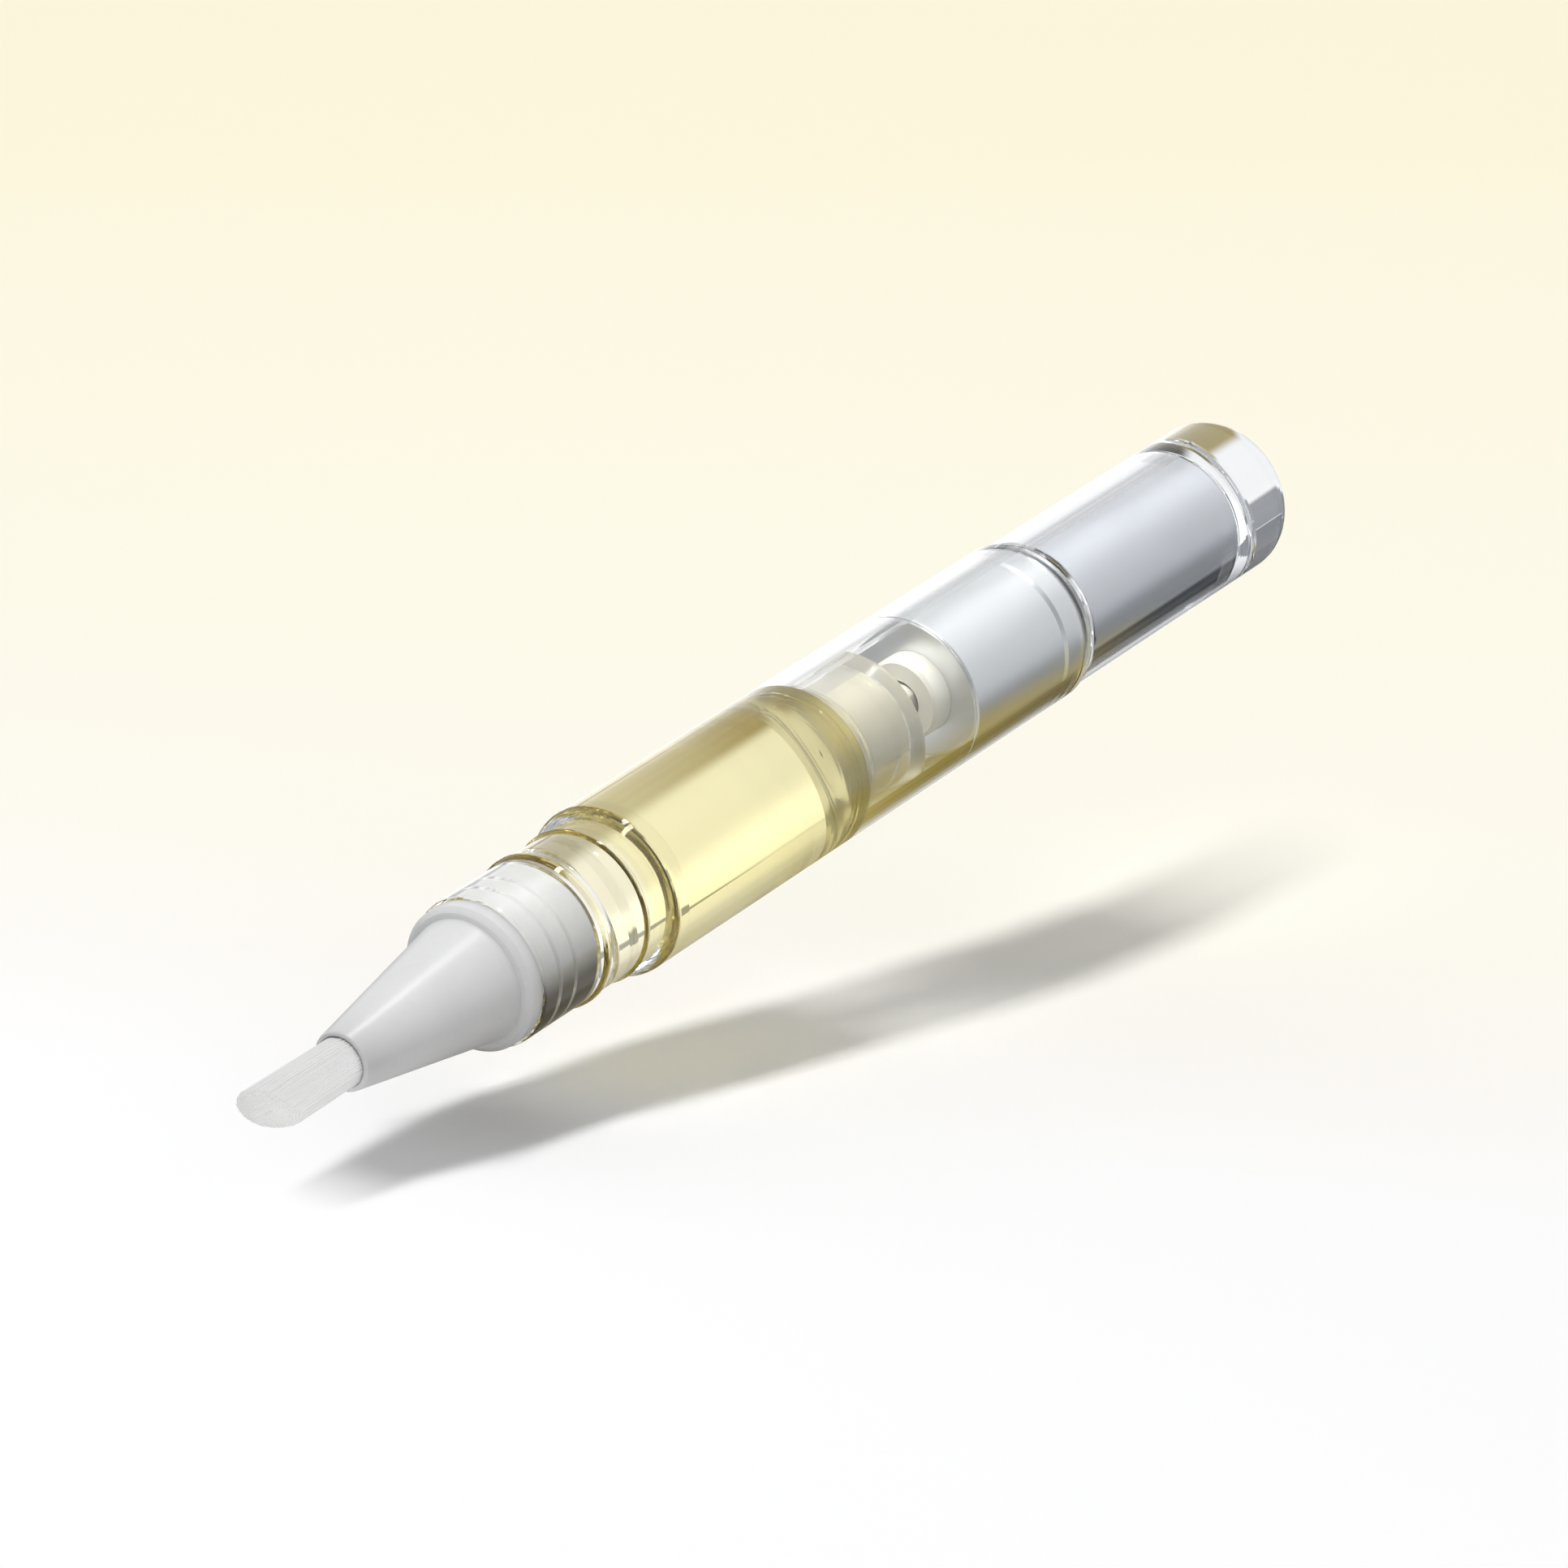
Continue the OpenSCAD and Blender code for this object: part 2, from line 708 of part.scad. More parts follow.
// Places of the filaments on a hexagonal grid, clear of the feed tube
function filament_places() =
    let (pitch = girth * filament_pitch,
         row = pitch * sqrt(3) / 2,
         most = brush_r - strand_r,
         least = feed_r + seat_gap + strand_r,
         rows = ceil(most / row),
         across = ceil(most / pitch) + 1)
    [for (j = [-rows:rows], i = [-across:across])
        let (x = (i + (j % 2 == 0 ? 0 : 1 / 2)) * pitch,
             y = j * row,
             r = norm([x, y]))
        if (r < most && r > least) [x, y]];

// Where a filament ends: the rounded tip falls away from its highest point
function filament_end(p) =
    let (offset = girth * tip_offset,
         away = min(1, norm([p[0] - offset, p[1]]) / (brush_r + offset)))
    pen_len - tip_len * (1 - sqrt(1 - tip_fall_share * away * away));

// One point of a filament: the bundle spreads evenly towards its tip
function filament_point(p, corner, height) =
    let (t = max(0, height - mouth_at) / brush_out,
         scale = 1 + spread_share * t,
         a = 120 * corner)
    [(p[0] + strand_r * cos(a)) * scale, (p[1] + strand_r * sin(a)) * scale, height];

// White filaments, fused to a slice of their root
module brush_bristles() {
    places = filament_places();
    levels = 3;
    foot = root_at + root_len - sink;
    points = [for (p = places)
        let (tip = filament_end(p),
             heights = [foot, mouth_at + (tip - mouth_at) / 2, tip])
        for (h = heights, c = [0:2]) filament_point(p, c, h)];
    side_faces = [for (k = [0:len(places) - 1], l = [0:levels - 2], c = [0:2])
        let (b = 3 * (levels * k + l), n = (c + 1) % 3)
        for (f = [[b + c, b + n, b + 3 + c], [b + n, b + 3 + n, b + 3 + c]]) [f[0], f[2], f[1]]];
    end_faces = [for (k = [0:len(places) - 1])
        let (b = 3 * levels * k, e = b + 3 * (levels - 1))
        for (f = [[b, b + 1, b + 2], [e, e + 2, e + 1]]) f];
    echo(filaments = len(places));
    color([0.96, 0.96, 0.96]) along_pen() rotate([0, 0, tip_turn]) union() {
        polyhedron(points, concat(side_faces, end_faces));
        tube(brush_r, feed_r + seat_gap, root_at, root_at + root_len);
    }
}

brush_bristles();
brush_collar();
feed_tube();
brush_retainer();
nozzle();
barrel();
oil_fill();
piston_seal();
piston_core();
screw_rod();
thread_nut();
guide_sleeve();
ratchet_ring();
ratchet_spring();
drive_sleeve();
end_bush();
tail_stop();
knob_core();
knob_shell();
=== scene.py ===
# %% [markdown]
# # Nail oil pen
# This lesson dresses a twist pen for nail oil: a brush on a frosted cone, a clear barrel of
# pale oil with a piston and a screw behind it, and a clear knob over a silver core.
# The construction model comes first. It says where each piece is and how it moves, and
# every piece that is made here, except the oil, rides on one of its bodies.

# %% Load the frame
import math
import random

import bpy
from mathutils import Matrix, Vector


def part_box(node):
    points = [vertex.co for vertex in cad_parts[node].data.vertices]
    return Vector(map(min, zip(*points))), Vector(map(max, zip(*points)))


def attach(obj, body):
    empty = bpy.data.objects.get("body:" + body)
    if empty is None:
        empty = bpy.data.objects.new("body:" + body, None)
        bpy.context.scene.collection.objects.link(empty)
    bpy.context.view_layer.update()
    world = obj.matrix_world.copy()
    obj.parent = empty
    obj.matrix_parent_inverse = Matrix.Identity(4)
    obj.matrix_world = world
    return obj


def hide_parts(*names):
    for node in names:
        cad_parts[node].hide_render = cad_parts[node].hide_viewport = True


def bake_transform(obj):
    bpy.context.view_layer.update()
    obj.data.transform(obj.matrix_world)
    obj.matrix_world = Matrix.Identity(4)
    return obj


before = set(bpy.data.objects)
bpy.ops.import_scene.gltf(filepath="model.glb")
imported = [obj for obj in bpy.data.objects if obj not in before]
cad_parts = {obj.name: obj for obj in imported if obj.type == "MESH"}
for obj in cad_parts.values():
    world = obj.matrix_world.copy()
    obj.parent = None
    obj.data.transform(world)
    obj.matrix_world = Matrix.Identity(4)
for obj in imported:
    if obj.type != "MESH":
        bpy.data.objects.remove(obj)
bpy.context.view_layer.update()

bpy.ops.object.select_all(action="DESELECT")
MM = 0.001

# %% [markdown]
# Places along the pen are counted in millimetres from the knob's flat end towards the
# brush, as they are in the construction model. The pen lies along X with its axis 6 mm up.

# %% Places along the pen
PEN_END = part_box("knob_shell")[1].x
AXIS_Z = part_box("barrel")[1].z / 2


def at(place):
    """The x of a place along the pen, in metres."""
    return PEN_END - place * MM


def place_of(node):
    """Where a CAD node starts and ends along the pen, in millimetres from the knob's end."""
    low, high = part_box(node)
    return (PEN_END - high.x) / MM, (PEN_END - low.x) / MM


def width_of(node):
    """The widest radius of a CAD node, in millimetres."""
    low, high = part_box(node)
    return (high.y - low.y) / 2 / MM


for name in ("knob_shell", "barrel", "nozzle", "oil_fill", "piston_seal", "screw_rod"):
    print(name, [round(p, 2) for p in place_of(name)], "radius", round(width_of(name), 2))

# %% [markdown]
# ## Camera
# The photograph looks down on the pen from over its brush end with a long lens. A long
# lens keeps the two ends of the pen nearly the same size, so the camera stands far off.

# %% Camera
IMAGE_SIDE = 1932
FOCAL_PIXELS = 10000
SENSOR = 36.0
CAMERA_PLACE = Vector((-0.40235, -0.2761, 0.2469))
LOOK = Vector((0.7396, 0.5066, -0.4431))
NEAREST, FURTHEST = 0.01, 20

camera_data = bpy.data.cameras.new("photo_camera")
camera_data.sensor_width = SENSOR
camera_data.lens = FOCAL_PIXELS / IMAGE_SIDE * SENSOR
camera_data.clip_start = NEAREST
camera_data.clip_end = FURTHEST
camera = bpy.data.objects.new("photo_camera", camera_data)
camera.location = CAMERA_PLACE
camera.rotation_euler = LOOK.to_track_quat("-Z", "Y").to_euler()
bpy.context.scene.collection.objects.link(camera)
bpy.context.scene.camera = camera
print("lens in mm:", round(camera_data.lens, 1))

# %% [markdown]
# ## Shader maths
# A finish is a small graph of nodes. Two classes write such a graph as plain Python. The
# first is a Value, a number that varies over the surface: + - * / on it add Math nodes.

# %% Values
class Value:
    """A number over the surface. Python's operators on it add Math nodes."""

    def __init__(self, finish, socket):
        self.finish, self.socket = finish, socket

    def math(self, operation, first, second):
        """A Math node on two values or numbers."""
        node = self.finish.node("Math", {"operation": operation}, {0: first, 1: second})
        return self.finish.value(node)

    def __add__(self, other):
        return self.math("ADD", self, other)

    def __sub__(self, other):
        return self.math("SUBTRACT", self, other)

    def __rsub__(self, other):
        return self.math("SUBTRACT", other, self)

    def __mul__(self, other):
        return self.math("MULTIPLY", self, other)

    def __truediv__(self, other):
        return self.math("DIVIDE", self, other)

    def __rtruediv__(self, other):
        return self.math("DIVIDE", other, self)

    __radd__ = __add__
    __rmul__ = __mul__

    def step(self, low, high):
        """0 below low, 1 above high and smooth between them."""
        node = self.finish.node("MapRange", {"interpolation_type": "SMOOTHSTEP"},
                                {"Value": self, "From Min": low, "From Max": high})
        return self.finish.value(node)


# %% [markdown]
# The second class is a Finish, which holds the graph. One method adds any node to it from its
# type, its settings and its sockets, and the other methods only name the nodes in much use.

# %% Finishes
def set_stops(band, stops):
    """Gives a colour ramp its stops (position, colour). A new ramp already has two."""
    for element, (position, color) in zip(band.elements, (stops[0], stops[-1])):
        element.position, element.color = position, (*color, 1.0)
    for position, color in stops[1:-1]:
        band.elements.new(position).color = (*color, 1.0)


class Finish:
    """A material or a world, with one method that adds any node to its graph."""

    def __init__(self, name, owner=None):
        self.material = owner or bpy.data.materials.new(name)
        self.material.use_nodes = True
        self.tree = self.material.node_tree
        self.tree.nodes.clear()
        self.output = self.node("OutputMaterial" if owner is None else "OutputWorld")
        self.points = self.node("TexCoord").outputs["Object" if owner is None else "Generated"]

    def node(self, kind, settings=None, sockets=None):
        """Adds a node: its settings come first, then the values or links of its sockets."""
        node = self.tree.nodes.new("ShaderNode" + kind)
        for key, value in (settings or {}).items():
            if key == "stops":
                set_stops(node.color_ramp, value)
            else:
                setattr(node, key, value)
        for key, value in (sockets or {}).items():
            socket = node.inputs[key]
            source = value.socket if isinstance(value, Value) else value
            if isinstance(source, bpy.types.NodeSocket):
                self.tree.links.new(source, socket)
            elif isinstance(source, (tuple, list)) and len(source) == 3 and socket.type == "RGBA":
                socket.default_value = (*source, 1.0)
            else:
                socket.default_value = source
        return node

    def value(self, node, output=0):
        """A node's output as a Value."""
        return Value(self, node.outputs[output])

    def axis(self, name):
        """One coordinate, X, Y or Z, of a point on the piece, in metres."""
        return self.value(self.node("SeparateXYZ", None, {0: self.points}), name)

    def noise(self, scale, stretch=(1, 1, 1), detail=3.0):
        """Soft noise over the piece, stretched by a Mapping node."""
        mapped = self.node("Mapping", None, {"Vector": self.points, "Scale": stretch})
        return self.value(self.node("TexNoise", None, {
            "Vector": mapped.outputs[0], "Scale": scale, "Detail": detail}), "Fac")

    def blend(self, factor, first, second):
        """A colour between two others."""
        node = self.node("Mix", {"data_type": "RGBA"}, {"Factor": factor, "A": first, "B": second})
        return node.outputs["Result"]

    def ramp(self, factor, stops):
        """A colour that runs through stops (position, colour)."""
        return self.node("ValToRGB", {"stops": stops}, {"Fac": factor}).outputs["Color"]

    def for_camera(self):
        """1 for what the camera sees straight on, 0 for every other ray."""
        return self.value(self.node("LightPath"), "Is Camera Ray")

    def through_glass(self):
        """1 for a ray that left a mirror or a clear piece, 0 for the camera and soft light."""
        rays = self.node("LightPath")
        mirrored = self.value(rays, "Is Glossy Ray")
        return mirrored.math("MAXIMUM", mirrored, self.value(rays, "Is Transmission Ray"))

    def bump(self, height, distance):
        """The Normal of a surface that rises by a distance where the height is 1."""
        return self.node("Bump", None, {"Height": height, "Distance": distance}).outputs["Normal"]

    def mixed(self, factor, first, second):
        """A shader between two others."""
        return self.node("MixShader", None, {
            0: factor, 1: first.outputs[0], 2: second.outputs[0]})

    def show(self, shader):
        """Ends the graph with a shader."""
        self.tree.links.new(shader.outputs[0], self.output.inputs["Surface"])
        return self.material

    def principled(self, **sockets):
        """The main shader: sockets are named with _ for a space."""
        return self.node("BsdfPrincipled", None,
                         {k.replace("_", " "): v for k, v in sockets.items()})


# %% [markdown]
# Pieces of the construction model that already have their full shape keep their mesh and only
# get a finish. They are the clear shells, the silver ones and the small parts of the drive.

# %% A finish for CAD nodes
def wear(finish, *names):
    """Gives CAD nodes a finish."""
    for name in names:
        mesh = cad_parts[name].data
        mesh.materials.clear()
        mesh.materials.append(finish)


# %% [markdown]
# ## Clear plastic
# The barrel comes from a polished mould, so its roughness is close to nothing, and a trace of
# noise in it keeps the highlights from looking computed. The mesh has both faces of the wall,
# so one shader with full transmission bends the light as the real wall does.
# A clear shader would also stop the lamp's light, because the bright patches that a lens
# throws are slow to find. So the clear shells cast no shadow, and the pieces inside are lit.

# %% Clear plastic
PLASTIC_IOR = 1.49
BARREL_CAST = (0.985, 0.99, 0.985)
BARREL_GRAIN = 0.02

clear = Finish("clear_plastic")
haze = clear.noise(scale=900.0)
clear_finish = clear.show(clear.principled(
    Base_Color=BARREL_CAST, Roughness=haze * BARREL_GRAIN, IOR=PLASTIC_IOR,
    Transmission_Weight=1.0))
wear(clear_finish, "barrel")
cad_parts["barrel"].visible_shadow = False
print("barrel wears", clear_finish.name)

# %% [markdown]
# ## Clear knob
# The knob is the same plastic, but several times as thick, so a faint grey-blue cast shows.
# It could be a colour inside the volume. A colour on the surface is quicker, and it survives
# an export. The haze is a little stronger, because fingers turn the knob.

# %% Clear knob
KNOB_CAST, KNOB_CAST_PALE = (0.9, 0.915, 0.935), (0.93, 0.94, 0.955)
KNOB_ROUGH, KNOB_GRAIN = 0.01, 0.03

knob_clear = Finish("clear_knob")
knob_haze = knob_clear.noise(scale=700.0)
knob_finish = knob_clear.show(knob_clear.principled(
    Base_Color=knob_clear.blend(knob_haze, KNOB_CAST, KNOB_CAST_PALE),
    Roughness=knob_haze * KNOB_GRAIN + KNOB_ROUGH, IOR=PLASTIC_IOR, Transmission_Weight=1.0))
wear(knob_finish, "knob_shell")
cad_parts["knob_shell"].visible_shadow = False
print("knob shell wears", knob_finish.name)

# %% [markdown]
# ## Oil's colour
# The oil is pale yellow in the barrel. In the neck there is little of it in front of the white
# plug, so it looks like pale cream. The colour runs from one to the other along X, over a
# millimetre and a half at the shoulder.

# %% Oil's colour
SHOULDER_X, NECK_X = -0.0207, -0.0222
OIL_IOR = 1.46
NECK_OIL, BARREL_OIL = (0.985, 0.95, 0.90), (0.965, 0.885, 0.51)

oil = Finish("pale_oil")
in_barrel = oil.axis("X").step(NECK_X, SHOULDER_X)
oil_finish = oil.show(oil.principled(
    Base_Color=oil.blend(in_barrel, NECK_OIL, BARREL_OIL),
    Roughness=0.0, IOR=OIL_IOR, Transmission_Weight=1.0))
print("oil turns pale at x", SHOULDER_X)

# %% [markdown]
# ## Silver
# The guide sleeve, the bush behind it and the knob's core are plastic with a thin coat of
# metal. The coat is satin: it shows the room as soft bands along the pen. The noise is
# stretched along X by a Mapping node, like the drawn surface of the mould.

# %% Silver
SILVER_DARK, SILVER_PALE = (0.77, 0.79, 0.81), (0.85, 0.87, 0.89)
SILVER_ROUGH, SILVER_GRAIN = 0.3, 0.1

silver = Finish("silver_sleeve")
grain = silver.noise(scale=700.0, stretch=(0.15, 1.0, 1.0))
silver_finish = silver.show(silver.principled(
    Base_Color=silver.blend(grain, SILVER_DARK, SILVER_PALE),
    Metallic=1.0, Roughness=grain * SILVER_GRAIN + SILVER_ROUGH))
wear(silver_finish, "guide_sleeve", "end_bush", "knob_core")
print("silver on three pieces")

# %% [markdown]
# ## White plastic
# The small parts of the drive and of the brush's feed are moulded in natural plastic, which
# is a little warm and not quite even. A low bump from the same noise breaks up the highlights.

# %% White plastic
WHITE_DARK, WHITE_PALE = (0.78, 0.76, 0.67), (0.84, 0.82, 0.73)
WHITE_ROUGH, WHITE_GRAIN = 0.35, 0.1
WHITE_BUMP = 0.00002

white = Finish("white_plastic")
cloud = white.noise(scale=300.0)
white_finish = white.show(white.principled(
    Base_Color=white.blend(cloud, WHITE_DARK, WHITE_PALE),
    Roughness=cloud * WHITE_GRAIN + WHITE_ROUGH, Normal=white.bump(cloud, WHITE_BUMP)))
wear(white_finish, "brush_collar", "feed_tube", "brush_retainer", "piston_core",
     "thread_nut", "ratchet_ring", "ratchet_spring", "drive_sleeve", "tail_stop")
print("white plastic on nine pieces")

# %% [markdown]
# ## Frosted nozzle
# The nozzle is milky: light goes in, spreads, and comes out again nearby, so its shaded side
# stays bright. That is what Subsurface does, with a reach of about two millimetres. The plug
# in the neck is wet with oil and looks greyer, so the colour changes where the barrel ends.
# The plug's lower side is painted dark olive below its middle, as a painted shade.

# %% Frosted nozzle
PLUG_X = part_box("barrel")[0].x
FROST_EDGE = 0.0005
# Heights between which painted shade darkens the plug's lower side.
PAINTED_SHADE_LOW, PAINTED_SHADE_HIGH = 0.005, 0.0068
DRY_DARK, DRY_PALE = (0.84, 0.84, 0.84), (0.89, 0.89, 0.89)
OILY_DARK, OILY_PALE = (0.7, 0.7, 0.68), (0.76, 0.76, 0.74)
# The colour of the painted shade on the plug's lower side.
PAINTED_PLUG_SHADE = (0.1, 0.08, 0.045)
FROST_ROUGH, FROST_GRAIN = 0.27, 0.1
FROST_BUMP = 0.00001
FROST_REACH = 0.002

frosted = Finish("frosted_plastic")
frost = frosted.noise(scale=1500.0)
dry = frosted.blend(frost, DRY_DARK, DRY_PALE)
oily_and_shaded = frosted.blend(frost, OILY_DARK, OILY_PALE)
# Painted shade: below its middle the plug turns dark olive.
oily_and_shaded = frosted.blend(frosted.axis("Z").step(PAINTED_SHADE_LOW, PAINTED_SHADE_HIGH), PAINTED_PLUG_SHADE, oily_and_shaded)
in_neck = frosted.axis("X").step(PLUG_X, PLUG_X + FROST_EDGE)
frosted_finish = frosted.show(frosted.principled(
    Base_Color=frosted.blend(in_neck, dry, oily_and_shaded),
    Roughness=frost * FROST_GRAIN + FROST_ROUGH, Transmission_Weight=0.1, IOR=1.5,
    Subsurface_Weight=0.6, Subsurface_Radius=(1.0, 1.0, 1.0), Subsurface_Scale=FROST_REACH,
    Normal=frosted.bump(frost, FROST_BUMP)))
print("frosted nozzle, oily from x", round(PLUG_X, 4))

# %% [markdown]
# ## Filaments
# The bristles are white nylon. Each one is too thin to need a bump, so the noise is stretched
# along them and makes some of them a touch darker than their neighbours.

# %% Filaments
NYLON_DARK, NYLON_PALE = (0.8, 0.8, 0.795), (0.88, 0.88, 0.875)
NYLON_ROUGH, NYLON_GRAIN = 0.4, 0.1

nylon = Finish("nylon_filament")
fibre = nylon.noise(scale=500.0, stretch=(0.05, 1.0, 1.0))
nylon_finish = nylon.show(nylon.principled(
    Base_Color=nylon.blend(fibre, NYLON_DARK, NYLON_PALE),
    Roughness=fibre * NYLON_GRAIN + NYLON_ROUGH))
print("filaments wear", nylon_finish.name)

# %% [markdown]
# ## Piston's seal
# The seal is soft and see-through like jelly. Behind the oil it takes on the oil's colour.

# %% Piston's seal
SEAL_IOR = 1.41
SEAL_DARK, SEAL_PALE = (0.96, 0.935, 0.81), (0.985, 0.965, 0.87)
SEAL_ROUGH, SEAL_GRAIN = 0.1, 0.1

milky = Finish("milky_seal")
curd = milky.noise(scale=400.0)
milky_finish = milky.show(milky.principled(
    Base_Color=milky.blend(curd, SEAL_DARK, SEAL_PALE),
    Roughness=curd * SEAL_GRAIN + SEAL_ROUGH, IOR=SEAL_IOR, Transmission_Weight=0.85))
wear(milky_finish, "piston_seal")
print("seal wears", milky_finish.name)

# %% [markdown]
# ## Turned pieces
# Most of the pen is round, so a piece is turned as on a lathe: its outline is drawn point by
# point above the axis, by extruding one vertex, and then spun about the axis. The spin meets
# itself where it started, so the doubles are merged before the normals are set outwards.

# %% Outline and spin
TURN_STEPS = 128
MERGE_GAP = 1e-7
TURNED_SMOOTH = 20


def named(name):
    """Names the piece that was just added, and its mesh."""
    piece = bpy.context.object
    piece.name = piece.data.name = name
    return piece


def settle(piece, smooth_angle):
    """Moves the place of a piece into its mesh and smooths its faces up to an angle."""
    bpy.ops.object.select_all(action="DESELECT")
    piece.select_set(True)
    bpy.context.view_layer.objects.active = piece
    bpy.ops.object.transform_apply(location=True, rotation=True, scale=True)
    bpy.ops.object.shade_smooth_by_angle(angle=math.radians(smooth_angle))


def turned(name, outline):
    """A solid of revolution from points (radius, place along the pen) in millimetres."""
    points = [Vector((at(place), 0, AXIS_Z + radius * MM)) for radius, place in outline]
    bpy.ops.object.select_all(action="DESELECT")
    bpy.ops.mesh.primitive_plane_add(size=MM, location=points[0])
    piece = named(name)
    bpy.ops.object.mode_set(mode="EDIT")
    bpy.ops.mesh.select_mode(type="VERT")
    bpy.ops.mesh.select_all(action="SELECT")
    bpy.ops.mesh.merge(type="CENTER")
    for before, point in zip(points, points[1:]):
        bpy.ops.mesh.extrude_region_move(TRANSFORM_OT_translate={"value": point - before})
    bpy.ops.mesh.select_all(action="SELECT")
    bpy.ops.mesh.spin(steps=TURN_STEPS, angle=math.tau, center=(0, 0, AXIS_Z), axis=(1, 0, 0))
    bpy.ops.mesh.select_all(action="SELECT")
    bpy.ops.mesh.remove_doubles(threshold=MERGE_GAP)
    bpy.ops.mesh.normals_make_consistent(inside=False)
    bpy.ops.object.mode_set(mode="OBJECT")
    settle(piece, TURNED_SMOOTH)
    print(name, len(piece.data.polygons), "faces")
    return piece


# %% [markdown]
# A round edge in an outline is a quarter of a circle in a few steps. A new piece is dressed in
# one call, which also says what it rides on and which node of the construction it replaces.

# %% Round edges and dressing
def quarter(steps):
    """Angles from zero to a right angle, in even steps."""
    return [math.pi / 2 * i / steps for i in range(steps + 1)]


def dress(piece, finish, body, slot, *nodes):
    """Gives a new piece its finish, its body and the nodes that it stands for; the slot is not
    used.
    """
    piece.data.materials.clear()
    piece.data.materials.append(finish)
    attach(piece, body)
    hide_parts(*nodes)


print("a quarter in three steps:", [round(math.degrees(a)) for a in quarter(3)])

# %% [markdown]
# ## Oil
# The oil touches the barrel's wall, so light goes straight from the plastic into the liquid
# and the whole width of the pen looks filled. A gap of air, even a thin one, would show as a
# silver edge. So the oil is drawn a hair into the wall, and a ray then meets both surfaces.

# %% Oil in the barrel
WET = 0.012
OIL_GAP = 0.02
LIP_GAP = 0.03
DOME_H = 0.9
DOME_RING = 1.4
DOME_STEPS = 8
TAPER = 1.4
NECK_LEN = 13.3
SHOULDER_WALL = 0.8
NECK_BORE_R = 4.2
PLUG_BORE_R = 2.9

plug_start = place_of("nozzle")[0]
piston_front = place_of("piston_seal")[1]
retainer_start = place_of("brush_retainer")[0]
barrel_end = place_of("barrel")[1]
bore_r = width_of("oil_fill") + OIL_GAP
taper_end = barrel_end - NECK_LEN - SHOULDER_WALL
taper_start = taper_end - TAPER
dome_r = bore_r - LIP_GAP - DOME_RING
dome = [(dome_r * math.sin(a), piston_front - WET - DOME_H * (1 - math.cos(a)))
        for a in quarter(DOME_STEPS)]
oil_body = turned("oil_body", dome + [
    (bore_r + WET, piston_front - DOME_H - WET),
    (bore_r + WET, taper_start),
    (NECK_BORE_R + WET, taper_end),
    (NECK_BORE_R + WET, plug_start + WET),
    (PLUG_BORE_R + WET, plug_start + WET),
    (PLUG_BORE_R + WET, retainer_start + WET),
    (0, retainer_start + WET)])
oil_body.data.materials.append(oil_finish)
at(taper_start)
at(piston_front - DOME_H)
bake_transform(oil_body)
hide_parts("oil_fill")
print("oil from", round(piston_front, 2), "to", round(retainer_start, 2), "mm")

# %% [markdown]
# ## Nozzle
# The nozzle is one moulding: a ribbed plug that seals in the neck, a collar that rests on the
# neck's rim, and the cone. Its ribs touch the neck's wall, so they too are drawn a hair into
# it, and the narrow grooves between them stay filled with air and show as thin lines.

# %% Nozzle
PLUG_R = 3.95
RIB_EDGE = 0.12
RIB_LEAD = 0.4
GROOVES = [(86.75, 87.1), (88.4, 88.8), (90.15, 90.55)]
FLANGE_R = 5.05
FLANGE_CHAMFER = 0.35
CONE_LEN = 13.3
CONE_BASE_R = 4.3
MOUTH_R = 2.1
MOUTH_BORE_R = 1.8
MOUTH_ROUND = 0.22
MOUTH_STEPS = 3
COLLAR_SEAT_R = 2.35

nozzle_end = place_of("nozzle")[1]
cone_start = nozzle_end - CONE_LEN
collar_start, collar_end = place_of("brush_collar")
rib_r = NECK_BORE_R + WET
nozzle_outline = [
    (PLUG_BORE_R, plug_start), (PLUG_R, plug_start), (rib_r, plug_start + RIB_LEAD)]
for groove_start, groove_end in GROOVES:
    nozzle_outline += [
        (rib_r, groove_start), (PLUG_R, groove_start + RIB_EDGE),
        (PLUG_R, groove_end - RIB_EDGE), (rib_r, groove_end)]
nozzle_outline += [
    (rib_r, barrel_end), (FLANGE_R, barrel_end),
    (FLANGE_R, cone_start - FLANGE_CHAMFER), (FLANGE_R - FLANGE_CHAMFER, cone_start),
    (CONE_BASE_R, cone_start)]
nozzle_outline += [
    (MOUTH_R - MOUTH_ROUND * (1 - math.cos(a)), nozzle_end - MOUTH_ROUND * (1 - math.sin(a)))
    for a in quarter(MOUTH_STEPS)]
nozzle_outline += [
    (MOUTH_BORE_R, nozzle_end), (MOUTH_BORE_R, collar_end),
    (COLLAR_SEAT_R, collar_end), (COLLAR_SEAT_R, collar_start),
    (PLUG_BORE_R, collar_start), (PLUG_BORE_R, plug_start)]
nozzle = turned("cone_nozzle", nozzle_outline)
dress(nozzle, frosted_finish, "barrel", "frosted_plastic", "nozzle")
print("nozzle from", round(plug_start, 2), "to", round(nozzle_end, 2), "mm")

# %% [markdown]
# ## Brush
# The brush is a round bundle of nylon filaments. They are cut on a slant, so one side is
# longer. One filament is modelled, one metre long and as thin as the real one, and it is
# copied to the places of a hexagonal grid. Each copy is then set to its own length.

# %% One filament
FILAMENT_R = 0.05
FILAMENT_SIDES = 5
FILAMENT_RINGS = 5
FILAMENT_TAPER = 0.6

